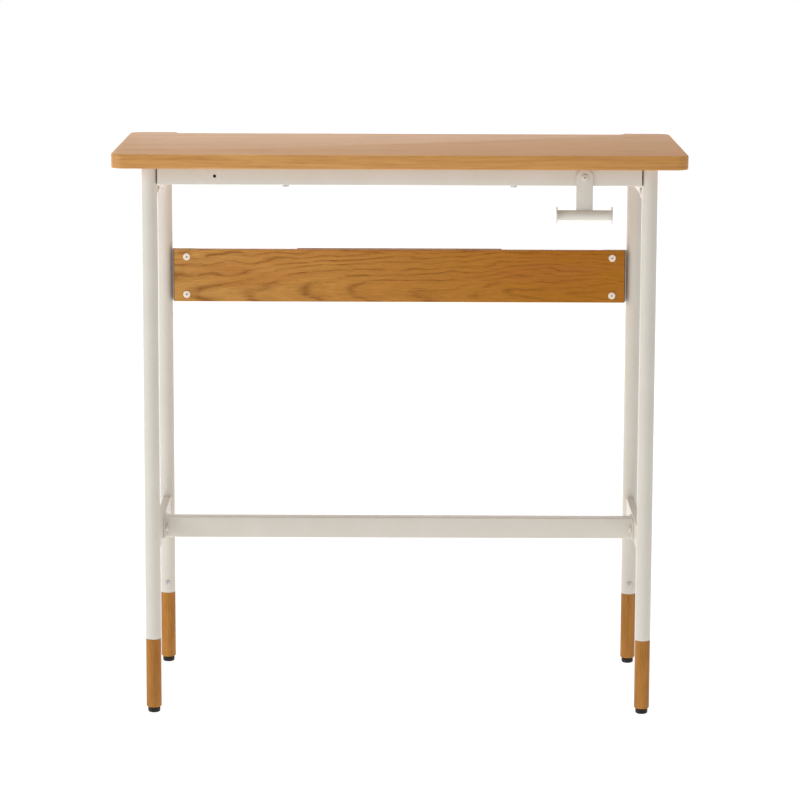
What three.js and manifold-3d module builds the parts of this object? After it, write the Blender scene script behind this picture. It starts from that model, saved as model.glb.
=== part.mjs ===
// Tall fixed-top table: an oak top and an oak back panel on a frame of round steel legs with oak tips.
// Millimetres, +Z up. The origin is on the floor under the middle of the top, and the front is -Y.
import * as THREE from "three";
import { mergeVertices } from "three/addons/utils/BufferGeometryUtils.js";
import Module from "manifold-3d";

const wasm = await Module();
wasm.setup();

// Clearances between pieces, and how far a cutting tool runs past a face.
const gap = 0.3;
const boltClearance = 0.3;
const past = 1;
const holeSegments = 12;

// Oak top, with a long shallow notch for cables in its rear edge.
const topWidth = 1000;
const topDepth = 450;
const topHeight = 1000;
const topThickness = 25;
const topCornerRadius = 24;
const topEdgeRound = 2;
const notchWidth = 826;
const notchDepth = 20;
const notchInnerRadius = 10;
const notchOuterRadius = 8;
const underTop = topHeight - topThickness;

// Round steel legs with turned oak tips and levelling feet.
const legX = 435;
const legY = 185;
const legRadius = 13.6;
const legWall = 1.4;
const legSegments = 24;
const tipTop = 134.5;
const tipRadius = 13.5;
const tipChamfer = 1.5;
const tenonTop = 176;
const tipScrewHeight = 155;
const pocketDepth = 46;
const footRadius = 11;
const footHeight = 10;
const footEdge = 3;
const footEdgeFlare = 0.3;
const studRadius = 4;
const studLength = 30;
const nutRadius = 6;
const nutFlangeRadius = 8;
const nutFlangeHeight = 1.6;
const nutLength = 18;

// Side frames: rectangular tubes between the front and rear legs.
const tubeWall = 1.5;
const tubeCorner = 2;
const sideRailWidth = 15;
const topSideRailHeight = 60;
const lowerSideRailHeight = 40;
const lowerRailCentre = 300;
const sideRailInner = legX - sideRailWidth / 2;

// Front and rear rails under the top, on bent corner brackets.
const railHalfLength = 420.6;
const railHeight = 30;
const railDepth = 20;
const railCentre = underTop - gap - railHeight / 2;
const bracketThickness = 3;
const bracketBend = 5;
const bracketReach = 50;
const bracketEndY = 111;
const bracketBottom = 918;
const railBoltY = 150;
const railBoltZ = 932;
const topScrewX = 198;

// Crossbar between the lower side rails, with a welded plate at each end.
const crossbarHeight = 38;
const crossbarDepth = 25;
const endPlateThickness = 3;
const endPlateHalfDepth = 30;
const crossbarBoltY = 21;
const ventX = 380;
const ventRadius = 3;

// Oak back panel, on two plates welded to the rear legs.
const panelHalfLength = 418.7;
const panelFront = 166;
const panelThickness = 18;
const panelBottom = 690.4;
const panelTop = 787.5;
const panelEdgeRound = 1;
const panelCorner = 1.5;
const panelScrewX = 394.3;
const panelScrewInset = 13.5;
const panelBack = panelFront + panelThickness;
const panelPlateInner = 378;

// Bag hook: an upright strap, a round bar across its foot and a disc at each end.
const hookX = 321;
const hookHoleZ = 960;
const strapWidth = 29;
const strapThickness = 3;
const barRadius = 9;
const barWall = 1.5;
const barZ = 894;
const barLength = 93;
const discRadius = 15;
const discThickness = 2;
const hookScrewRadius = 2.5;

// Steel cable tray on the back of the panel.
const trayHalfLength = 190;
const traySheet = 1.6;
const trayBend = 4;
const trayTop = 788.7;
const trayFloor = 720;
const trayBack = 222;
const trayLip = 758;
const trayScrewX = 150;
const trayScrewZ = 774;

// Screws and bolts: shank radius and length, head radius and height, socket radius and depth.
const tipScrew = { shank: 1.8, length: 12, head: 4, height: 2.2, socket: 1.6, depth: 1 };
const railBolt = { shank: 3, length: 13, head: 6, height: 4, socket: 2.3, depth: 2 };
const crossbarBolt = { shank: 3, length: 13, head: 6, height: 5, socket: 2.6, depth: 2.5 };
const topScrew = { shank: 2.2, length: 46, head: 6, height: 3.5, socket: 2.2, depth: 1.6 };
const panelScrew = { shank: 3, length: 24.5, head: 6.65, height: 2.8, socket: 2.3, depth: 1.6 };
const hookScrew = { shank: hookScrewRadius, length: 12, head: 5.5, height: 3, socket: 1.9, depth: 1.5 };
const trayScrew = { shank: 1.8, length: 13, head: 4, height: 2.4, socket: 1.6, depth: 1.2 };
const headShoulder = 0.5;
const headCrown = 0.7;

const sides = [
  { name: "left", x: -1 },
  { name: "right", x: 1 },
];
const ends = [
  { name: "front", y: -1 },
  { name: "rear", y: 1 },
];
const corners = ends.flatMap((end) =>
  sides.map((side) => ({ name: `${end.name}_${side.name}`, x: side.x, y: end.y })),
);

const table = new THREE.Group();

// Materials.
const oakVeneer = () => new THREE.MeshStandardMaterial({ color: 0xcfa983, roughness: 0.5, metalness: 0 });
const solidOak = () => new THREE.MeshStandardMaterial({ color: 0xb07c42, roughness: 0.5, metalness: 0 });
const ivorySteel = () => new THREE.MeshStandardMaterial({ color: 0xe9e6de, roughness: 0.45, metalness: 0 });
const zincSteel = () => new THREE.MeshStandardMaterial({ color: 0xb4b4b2, roughness: 0.35, metalness: 1 });
const blackPlastic = () => new THREE.MeshStandardMaterial({ color: 0x1d1b19, roughness: 0.6, metalness: 0 });

function addPart(name, geometry, material) {
  const mesh = new THREE.Mesh(geometry, material);
  mesh.name = name;
  table.add(mesh);
  return mesh;
}

// A closed geometry as a solid that can be joined and cut, and the way back.
function solid(geometry) {
  const bare = geometry.clone();
  bare.deleteAttribute("normal");
  bare.deleteAttribute("uv");
  const merged = mergeVertices(bare, 1e-4);
  return new wasm.Manifold(
    new wasm.Mesh({
      numProp: 3,
      vertProperties: new Float32Array(merged.attributes.position.array),
      triVerts: new Uint32Array(merged.index.array),
    }),
  );
}

function geometryOf(made) {
  const mesh = made.getMesh();
  const geometry = new THREE.BufferGeometry();
  geometry.setAttribute("position", new THREE.BufferAttribute(mesh.vertProperties, 3));
  geometry.setIndex(new THREE.BufferAttribute(mesh.triVerts, 1));
  geometry.computeVertexNormals();
  return geometry;
}

function cutFrom(body, tools) {
  const left = tools.reduce((made, tool) => made.subtract(solid(tool)), solid(body));
  return geometryOf(left);
}

function block(x0, x1, y0, y1, z0, z1) {
  const box = new THREE.BoxGeometry(x1 - x0, y1 - y0, z1 - z0);
  return box.translate((x0 + x1) / 2, (y0 + y1) / 2, (z0 + z1) / 2);
}

function rodX(radius, x0, x1, y, z, segments = holeSegments) {
  const rod = new THREE.CylinderGeometry(radius, radius, Math.abs(x1 - x0), segments);
  return rod.rotateZ(Math.PI / 2).translate((x0 + x1) / 2, y, z);
}

function rodY(radius, y0, y1, x, z, segments = holeSegments) {
  const rod = new THREE.CylinderGeometry(radius, radius, Math.abs(y1 - y0), segments);
  return rod.translate(x, (y0 + y1) / 2, z);
}

function rodZ(radius, z0, z1, x, y, segments = holeSegments) {
  const rod = new THREE.CylinderGeometry(radius, radius, z1 - z0, segments);
  return rod.rotateX(Math.PI / 2).translate(x, y, (z0 + z1) / 2);
}

// A turned piece about the Z axis, from [radius, height] pairs listed from the bottom up.
function turned(profile, segments) {
  const points = profile.map(([radius, height]) => new THREE.Vector2(radius, height));
  return new THREE.LatheGeometry(points, segments).rotateX(Math.PI / 2);
}

function roundedRectangle(width, height, radius) {
  const x = width / 2 - radius;
  const y = height / 2 - radius;
  const path = new THREE.Shape();
  path.absarc(x, y, radius, 0, Math.PI / 2);
  path.absarc(-x, y, radius, Math.PI / 2, Math.PI);
  path.absarc(-x, -y, radius, Math.PI, 1.5 * Math.PI);
  path.absarc(x, -y, radius, 1.5 * Math.PI, 2 * Math.PI);
  path.closePath();
  return path;
}

// A section drawn in Y and Z, run along X.
function alongX(section, x0, x1, curveSegments = 2) {
  const run = new THREE.ExtrudeGeometry(section, { depth: x1 - x0, bevelEnabled: false, curveSegments });
  const turn = new THREE.Matrix4().makeBasis(
    new THREE.Vector3(0, 1, 0),
    new THREE.Vector3(0, 0, 1),
    new THREE.Vector3(1, 0, 0),
  );
  return run.applyMatrix4(turn).translate(x0, 0, 0);
}

// A face drawn in X and Z, given its thickness along Y.
function alongY(face, y0, y1, options = {}) {
  const depth = y1 - y0;
  const run = new THREE.ExtrudeGeometry(face, { depth, bevelEnabled: false, curveSegments: 8, ...options });
  return run.rotateX(Math.PI / 2).translate(0, y1, 0);
}

function rectangularTube(height, depth) {
  const section = roundedRectangle(depth, height, tubeCorner);
  const x = depth / 2 - tubeWall;
  const y = height / 2 - tubeWall;
  const inside = [[x, y], [-x, y], [-x, -y], [x, -y]].map((corner) => new THREE.Vector2(...corner));
  section.holes.push(new THREE.Path(inside));
  return section;
}

// A screw or bolt about Z: the underside of its domed head is at zero and the shank points down.
function fastener({ shank, length, head, height, socket, depth }) {
  const body = turned(
    [
      [0, -length],
      [shank, -length],
      [shank, 0],
      [head, 0],
      [head, height * headShoulder],
      [head * headCrown, height],
      [0, height],
    ],
    12,
  );
  const hexSides = 6;
  return cutFrom(body, [rodZ(socket, height - depth, height + past, 0, 0, hexSides)]);
}

const headTowards = {
  front: [Math.PI / 2, 0, 0],
  rear: [-Math.PI / 2, 0, 0],
  below: [Math.PI, 0, 0],
  left: [0, -Math.PI / 2, 0],
  right: [0, Math.PI / 2, 0],
};

function addFastener(name, kind, direction, x, y, z, material) {
  const mesh = addPart(name, fastener(kind), material);
  mesh.rotation.set(...headTowards[direction]);
  mesh.position.set(x, y, z);
}

function topOutline() {
  const x = topWidth / 2;
  const y = topDepth / 2;
  const corner = topCornerRadius;
  const inner = notchInnerRadius;
  const outer = notchOuterRadius;
  const notchX = notchWidth / 2;
  const notchY = y - notchDepth;
  const quarter = Math.PI / 2;
  const outline = new THREE.Shape();
  outline.absarc(x - corner, -y + corner, corner, -quarter, 0);
  outline.absarc(x - corner, y - corner, corner, 0, quarter);
  outline.absarc(notchX + outer, y - outer, outer, quarter, Math.PI);
  outline.absarc(notchX - inner, notchY + inner, inner, 0, -quarter, true);
  outline.absarc(-notchX + inner, notchY + inner, inner, -quarter, -Math.PI, true);
  outline.absarc(-notchX - outer, y - outer, outer, 0, quarter);
  outline.absarc(-x + corner, y - corner, corner, quarter, Math.PI);
  outline.absarc(-x + corner, -y + corner, corner, Math.PI, 3 * quarter);
  outline.closePath();
  return outline;
}

function buildTop() {
  const slab = new THREE.ExtrudeGeometry(topOutline(), {
    depth: topThickness - 2 * topEdgeRound,
    bevelThickness: topEdgeRound,
    bevelSize: topEdgeRound,
    bevelOffset: -topEdgeRound,
    bevelSegments: 1,
    curveSegments: 5,
  });
  slab.translate(0, 0, underTop + topEdgeRound);
  const pilotTop = railCentre - railHeight / 2 + topScrew.length + past;
  const pilots = corners.map(({ x, y }) =>
    rodZ(topScrew.shank + boltClearance, underTop - past, pilotTop, x * topScrewX, y * legY),
  );
  addPart("tabletop", cutFrom(slab, pilots), oakVeneer());
}

// The tip screws of all four legs face the middle of the table.
function buildLeg({ name, x, y }) {
  const bore = legRadius - legWall;
  const tube = turned(
    [
      [bore, tipTop],
      [legRadius, tipTop],
      [legRadius, underTop - gap],
      [bore, underTop - gap],
      [bore, tipTop],
    ],
    legSegments,
  );
  const inward = -y;
  const drill = rodY(tipScrew.shank + boltClearance, 0, inward * (legRadius + past), 0, tipScrewHeight);
  const leg = addPart(`leg_${name}`, cutFrom(tube, [drill]), ivorySteel());
  leg.position.set(x * legX, y * legY, 0);

  const tenon = bore - gap;
  const tipEnd = tipTop - gap;
  const oak = turned(
    [
      [0, footHeight + pocketDepth],
      [nutRadius + gap, footHeight + pocketDepth],
      [nutRadius + gap, footHeight + nutFlangeHeight + gap],
      [nutFlangeRadius + gap, footHeight + nutFlangeHeight + gap],
      [nutFlangeRadius + gap, footHeight],
      [tipRadius - tipChamfer, footHeight],
      [tipRadius, footHeight + tipChamfer],
      [tipRadius, tipEnd],
      [tenon, tipEnd],
      [tenon, tenonTop],
      [0, tenonTop],
    ],
    legSegments,
  );
  const pilotEnd = legRadius - tipScrew.length - past;
  const pilotRadius = tipScrew.shank + boltClearance;
  const pilot = rodY(pilotRadius, inward * pilotEnd, inward * legRadius, 0, tipScrewHeight);
  const tip = addPart(`leg_tip_${name}`, cutFrom(oak, [pilot]), solidOak());
  tip.position.copy(leg.position);

  const head = y < 0 ? "rear" : "front";
  const headY = y * legY + inward * (legRadius + gap);
  addFastener(`tip_screw_${name}`, tipScrew, head, x * legX, headY, tipScrewHeight, zincSteel());
}

// Each levelling foot is a stud that screws into a flanged nut in the end of the oak tip.
function buildFoot({ name, x, y }) {
  const threadRoom = studRadius + boltClearance;
  const nutBottom = footHeight + gap;
  const nut = turned(
    [
      [threadRoom, nutBottom],
      [nutFlangeRadius, nutBottom],
      [nutFlangeRadius, nutBottom + nutFlangeHeight - gap],
      [nutRadius, nutBottom + nutFlangeHeight - gap],
      [nutRadius, footHeight + nutLength - gap],
      [threadRoom, footHeight + nutLength - gap],
      [threadRoom, nutBottom],
    ],
    16,
  );
  addPart(`insert_nut_${name}`, nut, zincSteel()).position.set(x * legX, y * legY, 0);

  const foot = turned(
    [
      [0, 0],
      [footRadius - footEdge, 0],
      [footRadius - footEdge * footEdgeFlare, footEdge * footEdgeFlare],
      [footRadius, footEdge],
      [footRadius, footHeight - gap],
      [studRadius, footHeight - gap],
      [studRadius, footHeight + studLength],
      [0, footHeight + studLength],
    ],
    16,
  );
  addPart(`levelling_foot_${name}`, foot, blackPlastic()).position.set(x * legX, y * legY, 0);
}

// A rectangular tube between a front and a rear leg, hollowed to fit round both.
function sideRail(x, centre, height, holes) {
  const tube = new THREE.ExtrudeGeometry(rectangularTube(height, sideRailWidth), {
    depth: 2 * legY,
    bevelEnabled: false,
    curveSegments: 2,
  });
  tube.rotateX(Math.PI / 2).translate(x * legX, legY, centre);
  const reach = height / 2 + past;
  const copes = ends.map(({ y }) =>
    rodZ(legRadius + gap, centre - reach, centre + reach, x * legX, y * legY, legSegments),
  );
  const drills = holes.map(({ y, z, radius }) =>
    rodX(radius + boltClearance, x * (sideRailInner - past), x * (sideRailInner + tubeWall + past), y, z),
  );
  return cutFrom(tube, [...copes, ...drills]);
}

function buildSideFrame({ name, x }) {
  const topCentre = underTop - gap - topSideRailHeight / 2;
  const topHoles = ends.map(({ y }) => ({ y: y * railBoltY, z: railBoltZ, radius: railBolt.shank }));
  addPart(`top_side_rail_${name}`, sideRail(x, topCentre, topSideRailHeight, topHoles), ivorySteel());

  const boltRadius = crossbarBolt.shank;
  const lowerHoles = ends.map(({ y }) => ({ y: y * crossbarBoltY, z: lowerRailCentre, radius: boltRadius }));
  const lower = sideRail(x, lowerRailCentre, lowerSideRailHeight, lowerHoles);
  addPart(`lower_side_rail_${name}`, lower, ivorySteel());
}

// The front rail also has a hole at each end for the hook, so that the hook fits on either side.
function buildRail({ name, y }) {
  const tube = alongX(rectangularTube(railHeight, railDepth), -railHalfLength, railHalfLength);
  tube.translate(0, y * legY, railCentre);
  const below = railCentre - railHeight / 2 - past;
  const screwHoles = sides.map((side) =>
    rodZ(topScrew.shank + boltClearance, below, underTop + past, side.x * topScrewX, y * legY),
  );
  const face = y * (legY + railDepth / 2);
  const reach = 2 * tubeWall;
  const hookHoles = sides.map((side) =>
    rodY(hookScrewRadius + boltClearance, face - reach, face + reach, side.x * hookX, hookHoleZ),
  );
  const holes = name === "front" ? [...screwHoles, ...hookHoles] : screwHoles;
  addPart(`${name}_rail`, cutFrom(tube, holes), ivorySteel());
}

// A bent plate: one leaf on the inner face of the rail, the other bolted to the side frame.
function buildCornerBracket({ name, x, y }) {
  const outerX = sideRailInner - gap;
  const innerX = outerX - bracketThickness;
  const railFace = legY - railDepth / 2 - gap;
  const leafFace = railFace - bracketThickness;
  const bendX = outerX - bracketBend;
  const bendY = railFace - bracketBend;
  const innerBend = bracketBend - bracketThickness;
  const plan = new THREE.Shape();
  plan.moveTo(outerX, bracketEndY);
  plan.lineTo(outerX, bendY);
  plan.absarc(bendX, bendY, bracketBend, 0, Math.PI / 2);
  plan.lineTo(outerX - bracketReach, railFace);
  plan.lineTo(outerX - bracketReach, leafFace);
  plan.absarc(bendX, bendY, innerBend, Math.PI / 2, 0, true);
  plan.lineTo(innerX, bracketEndY);
  plan.closePath();
  const bent = new THREE.ExtrudeGeometry(plan, {
    depth: underTop - gap - bracketBottom,
    bevelEnabled: false,
    curveSegments: 3,
  });
  bent.translate(0, 0, bracketBottom);
  const railBottom = railCentre - railHeight / 2;
  const underRail = block(outerX - bracketReach - past, bendX, 0, legY, bracketBottom - past, railBottom);
  const hole = rodX(railBolt.shank + boltClearance, innerX - past, outerX + past, railBoltY, railBoltZ);
  const bracket = addPart(`corner_bracket_${name}`, cutFrom(bent, [underRail, hole]), ivorySteel());
  bracket.scale.set(x, y, 1);

  const inward = x < 0 ? "right" : "left";
  const headX = x * (innerX - gap);
  addFastener(`rail_bolt_${name}`, railBolt, inward, headX, y * railBoltY, railBoltZ, ivorySteel());
}

function buildCrossbar() {
  const plateOuter = sideRailInner - gap;
  const plateInner = plateOuter - endPlateThickness;
  const half = crossbarHeight / 2;
  const tube = alongX(rectangularTube(crossbarHeight, crossbarDepth), -plateInner - past, plateInner + past);
  tube.translate(0, 0, lowerRailCentre);
  let bar = solid(tube);
  for (const { x } of sides) {
    const face = roundedRectangle(2 * endPlateHalfDepth, crossbarHeight, tubeCorner);
    const faces = [x * plateInner, x * plateOuter].sort((a, b) => a - b);
    const plate = alongX(face, ...faces);
    bar = bar.add(solid(plate.translate(0, 0, lowerRailCentre)));
  }
  for (const { x } of sides) {
    const bottom = lowerRailCentre - half;
    bar = bar.subtract(solid(rodZ(ventRadius, bottom - past, bottom + tubeWall + past, x * ventX, 0)));
    for (const { y } of ends) {
      const hole = rodX(crossbarBolt.shank + boltClearance, x * (plateInner - past), x * (plateOuter + past),
        y * crossbarBoltY, lowerRailCentre);
      bar = bar.subtract(solid(hole));
    }
  }
  addPart("crossbar", geometryOf(bar), ivorySteel());

  for (const { name, x, y } of corners) {
    const inward = x < 0 ? "right" : "left";
    const headX = x * (plateInner - gap);
    addFastener(`crossbar_bolt_${name}`, crossbarBolt, inward, headX, y * crossbarBoltY, lowerRailCentre,
      ivorySteel());
  }
}

function buildPanel() {
  const middle = (panelBottom + panelTop) / 2;
  const height = panelTop - panelBottom;
  const face = roundedRectangle(2 * panelHalfLength, height, panelCorner);
  const board = alongY(face, panelFront + panelEdgeRound, panelBack - panelEdgeRound, {
    bevelEnabled: true,
    bevelThickness: panelEdgeRound,
    bevelSize: panelEdgeRound,
    bevelOffset: -panelEdgeRound,
    bevelSegments: 1,
    curveSegments: 1,
  });
  board.translate(0, 0, middle);
  const rows = [
    { name: "upper", z: panelTop - panelScrewInset },
    { name: "lower", z: panelBottom + panelScrewInset },
  ];
  const places = rows.flatMap((row) => sides.map((side) => ({ ...side, row: row.name, z: row.z })));
  const holes = places.map(({ x, z }) =>
    rodY(panelScrew.shank + boltClearance, panelFront - past, panelBack + past, x * panelScrewX, z),
  );
  const pilotEnd = panelBack - trayScrew.length;
  const trayPilots = sides.map(({ x }) =>
    rodY(trayScrew.shank + boltClearance, pilotEnd, panelBack + past, x * trayScrewX, trayScrewZ),
  );
  addPart("back_panel", cutFrom(board, [...holes, ...trayPilots]), solidOak());

  const plateFront = panelBack + gap;
  const plateRear = plateFront + bracketThickness;
  for (const { name, x } of sides) {
    const edges = [x * panelPlateInner, x * (legX - legRadius - gap)].sort((a, b) => a - b);
    const plate = block(...edges, plateFront, plateRear, panelBottom, panelTop);
    const bolts = rows.map(({ z }) =>
      rodY(panelScrew.shank + boltClearance, plateFront - past, plateRear + past, x * panelScrewX, z),
    );
    addPart(`panel_plate_${name}`, cutFrom(plate, bolts), ivorySteel());
  }
  for (const { name, x, row, z } of places) {
    addFastener(`panel_screw_${row}_${name}`, panelScrew, "front", x * panelScrewX, panelFront - gap, z,
      ivorySteel());
  }
}

// The sheet goes down the back of the panel, along the floor of the tray and up to a low lip.
function buildCableTray() {
  const front = panelBack + gap;
  const innerBend = trayBend - traySheet;
  const section = new THREE.Shape();
  section.moveTo(front, trayTop);
  section.lineTo(front, trayFloor + trayBend);
  section.absarc(front + trayBend, trayFloor + trayBend, trayBend, Math.PI, 1.5 * Math.PI);
  section.absarc(trayBack - trayBend, trayFloor + trayBend, trayBend, -Math.PI / 2, 0);
  section.lineTo(trayBack, trayLip);
  section.lineTo(trayBack - traySheet, trayLip);
  section.absarc(trayBack - trayBend, trayFloor + trayBend, innerBend, 0, -Math.PI / 2, true);
  section.absarc(front + trayBend, trayFloor + trayBend, innerBend, 1.5 * Math.PI, Math.PI, true);
  section.lineTo(front + traySheet, trayTop);
  section.closePath();
  const sheet = alongX(section, -trayHalfLength, trayHalfLength, 4);
  const holes = sides.map(({ x }) =>
    rodY(trayScrew.shank + boltClearance, front - past, front + traySheet + past, x * trayScrewX, trayScrewZ),
  );
  addPart("cable_tray", cutFrom(sheet, holes), ivorySteel());
  for (const { name, x } of sides) {
    const headY = front + traySheet + gap;
    addFastener(`tray_screw_${name}`, trayScrew, "rear", x * trayScrewX, headY, trayScrewZ, zincSteel());
  }
}

function buildHook() {
  const back = -legY - railDepth / 2 - gap;
  const front = back - strapThickness;
  const barY = (front + back) / 2;
  const half = strapWidth / 2;
  const outline = new THREE.Shape();
  outline.moveTo(hookX - half, barZ);
  outline.lineTo(hookX + half, barZ);
  outline.absarc(hookX, hookHoleZ, half, 0, Math.PI);
  outline.closePath();
  const strap = alongY(outline, front, back, { curveSegments: 12 });
  const bore = rodY(hookScrewRadius + boltClearance, front - past, back + past, hookX, hookHoleZ);
  const cope = rodX(barRadius + gap, hookX - barLength, hookX + barLength, barY, barZ, 24);
  addPart("hook_strap", cutFrom(strap, [bore, cope]), ivorySteel());

  const ring = turned(
    [
      [barRadius - barWall, -barLength / 2],
      [barRadius, -barLength / 2],
      [barRadius, barLength / 2],
      [barRadius - barWall, barLength / 2],
      [barRadius - barWall, -barLength / 2],
    ],
    20,
  );
  const bar = addPart("hook_bar", ring, ivorySteel());
  bar.rotation.set(0, Math.PI / 2, 0);
  bar.position.set(hookX, barY, barZ);

  for (const { name, x } of sides) {
    const disc = new THREE.CylinderGeometry(discRadius, discRadius, discThickness, 24);
    const mesh = addPart(`hook_disc_${name}`, disc, ivorySteel());
    mesh.rotation.set(0, 0, Math.PI / 2);
    mesh.position.set(hookX + x * (barLength / 2 + gap + discThickness / 2), barY, barZ);
  }
  addFastener("hook_screw", hookScrew, "front", hookX, front - gap, hookHoleZ, ivorySteel());
}

buildTop();
for (const corner of corners) {
  buildLeg(corner);
  buildFoot(corner);
  buildCornerBracket(corner);
  const railBottom = railCentre - railHeight / 2;
  addFastener(`top_screw_${corner.name}`, topScrew, "below", corner.x * topScrewX, corner.y * legY,
    railBottom - gap, zincSteel());
}
sides.forEach(buildSideFrame);
ends.forEach(buildRail);
buildCrossbar();
buildPanel();
buildCableTray();
buildHook();

export default table;
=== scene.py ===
import math

import bmesh
import bpy
from mathutils import Matrix, Vector


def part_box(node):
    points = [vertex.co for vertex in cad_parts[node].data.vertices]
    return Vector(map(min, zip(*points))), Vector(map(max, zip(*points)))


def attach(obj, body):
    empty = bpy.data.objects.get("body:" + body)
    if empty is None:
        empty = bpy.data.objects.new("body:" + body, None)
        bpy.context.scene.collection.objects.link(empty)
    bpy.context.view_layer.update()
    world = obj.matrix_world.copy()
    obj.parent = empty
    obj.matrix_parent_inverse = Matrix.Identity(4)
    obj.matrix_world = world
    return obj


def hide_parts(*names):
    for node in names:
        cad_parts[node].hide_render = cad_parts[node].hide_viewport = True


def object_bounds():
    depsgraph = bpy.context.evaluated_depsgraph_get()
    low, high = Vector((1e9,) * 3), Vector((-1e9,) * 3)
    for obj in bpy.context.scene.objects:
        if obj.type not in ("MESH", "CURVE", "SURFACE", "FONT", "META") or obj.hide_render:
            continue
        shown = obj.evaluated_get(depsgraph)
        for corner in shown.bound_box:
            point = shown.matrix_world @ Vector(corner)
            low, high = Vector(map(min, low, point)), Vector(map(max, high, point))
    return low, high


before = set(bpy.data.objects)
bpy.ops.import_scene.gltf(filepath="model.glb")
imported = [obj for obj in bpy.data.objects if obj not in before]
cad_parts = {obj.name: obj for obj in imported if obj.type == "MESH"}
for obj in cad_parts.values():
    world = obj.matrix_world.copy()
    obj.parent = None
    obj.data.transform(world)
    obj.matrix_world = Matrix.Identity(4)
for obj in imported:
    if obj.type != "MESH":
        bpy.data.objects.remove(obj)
cadLow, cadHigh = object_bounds()
print("frame loaded:", len(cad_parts), "nodes")

rootBody = "table"
fullTurn = 2 * math.pi
near = 1e-5  # two places closer than this are the same
merged = near / 4  # corners closer than this become one after a cut
squareOn = 0.999  # a direction with this much of an axis in it lies along that axis
overrun = 0.001  # a cut starts or stops this far outside the face it breaks
throughWall = 0.003  # a cut through one wall of a tube reaches this far
throughPlate = 0.005
sharpAngle = math.radians(32)
ends = {"front": -1, "rear": 1}
sides = {"left": -1, "right": 1}
corners = [(f"{end}_{side}", sides[side], ends[end]) for end in ends for side in sides]


# The camera, the lights and the floor.

cameraLook = {
    "place": (0.002, -5.834, 1.524),
    "tiltDown": 9.63,  # degrees below level
    "roll": 0.2,
    "lens": 146.7,
    "sensor": 36,
}


def placeCamera():
    data = bpy.data.cameras.new("camera")
    data.lens = cameraLook["lens"]
    data.sensor_width = cameraLook["sensor"]
    data.clip_end = 60
    camera = bpy.data.objects.new("camera", data)
    tilt = Matrix.Rotation(math.radians(90 - cameraLook["tiltDown"]), 4, "X")
    roll = Matrix.Rotation(math.radians(cameraLook["roll"]), 4, "Z")
    camera.matrix_world = Matrix.Translation(cameraLook["place"]) @ tilt @ roll
    bpy.context.scene.collection.objects.link(camera)
    bpy.context.scene.camera = camera


lightLook = {
    "fillColour": (1.0, 0.985, 0.96, 1),
    "fillStrength": 0.34,
    "keyPlace": (-4.5, -2.3, 2.1),
    "keyAim": (0.1, 0, 0.65),
    "keySize": (2.4, 2.4),
    "keyPower": 66,
    "keyColour": (0.97, 0.985, 1.0),
    "backPlace": (-1.0, 3.6, 1.1),  # a lit sheet behind the table, whose light the top catches
    "backSize": (6, 2.4),
    "backPower": 70,
    "backColour": (1, 1, 1),
    "topPlace": (-0.2, 0.1, 4.2),
    "topSize": (1.6, 1.6),
    "topPower": 50,
    "topColour": (1.0, 0.985, 0.955),
}


def addSoftbox(name, place, aim, size, power, colour):
    data = bpy.data.lights.new(name, "AREA")
    data.shape = "RECTANGLE"
    data.size, data.size_y = size
    data.energy = power
    data.color = colour
    light = bpy.data.objects.new(name, data)
    turn = (Vector(aim) - Vector(place)).to_track_quat("-Z", "Y")
    light.matrix_world = Matrix.Translation(place) @ turn.to_matrix().to_4x4()
    light.visible_camera = False
    bpy.context.scene.collection.objects.link(light)


def placeLights():
    world = bpy.data.worlds.new("studio")
    world.use_nodes = True
    tree = world.node_tree
    tree.nodes.clear()
    fill = tree.nodes.new("ShaderNodeBackground")
    fill.inputs["Color"].default_value = lightLook["fillColour"]
    fill.inputs["Strength"].default_value = lightLook["fillStrength"]
    paper = tree.nodes.new("ShaderNodeBackground")  # the white that shows behind the table
    paper.inputs["Color"].default_value = (1, 1, 1, 1)
    path = tree.nodes.new("ShaderNodeLightPath")
    choose = tree.nodes.new("ShaderNodeMixShader")
    out = tree.nodes.new("ShaderNodeOutputWorld")
    tree.links.new(path.outputs["Is Camera Ray"], choose.inputs[0])
    tree.links.new(fill.outputs[0], choose.inputs[1])
    tree.links.new(paper.outputs[0], choose.inputs[2])
    tree.links.new(choose.outputs[0], out.inputs[0])
    bpy.context.scene.world = world

    for name in ("key", "back", "top"):
        look = [lightLook[name + part] for part in ("Size", "Power", "Colour")]
        addSoftbox(name + "Light", lightLook[name + "Place"], lightLook["keyAim"], *look)
    bpy.context.scene.view_settings.view_transform = "Standard"


placeCamera()
placeLights()


# Shader maths: one output socket, so that sums on it read as sums.

class Signal:
    def __init__(self, shader, socket):
        self.shader = shader
        self.socket = socket

    def join(self, operation, *values):
        return self.shader.add("Math", {"operation": operation}, dict(enumerate(values)))

    def __add__(self, other):
        return self.join("ADD", self, other)

    def __radd__(self, other):
        return self.join("ADD", other, self)

    def __sub__(self, other):
        return self.join("SUBTRACT", self, other)

    def __rsub__(self, other):
        return self.join("SUBTRACT", other, self)

    def __mul__(self, other):
        return self.join("MULTIPLY", self, other)

    def __rmul__(self, other):
        return self.join("MULTIPLY", other, self)

    def __truediv__(self, other):
        return self.join("DIVIDE", self, other)

    def __rtruediv__(self, other):
        return self.join("DIVIDE", other, self)

    def root(self):
        return self.join("SQRT", self)

    def part(self):
        return self.join("FRACT", self)

    def floor(self):
        return self.join("FLOOR", self)


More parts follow.
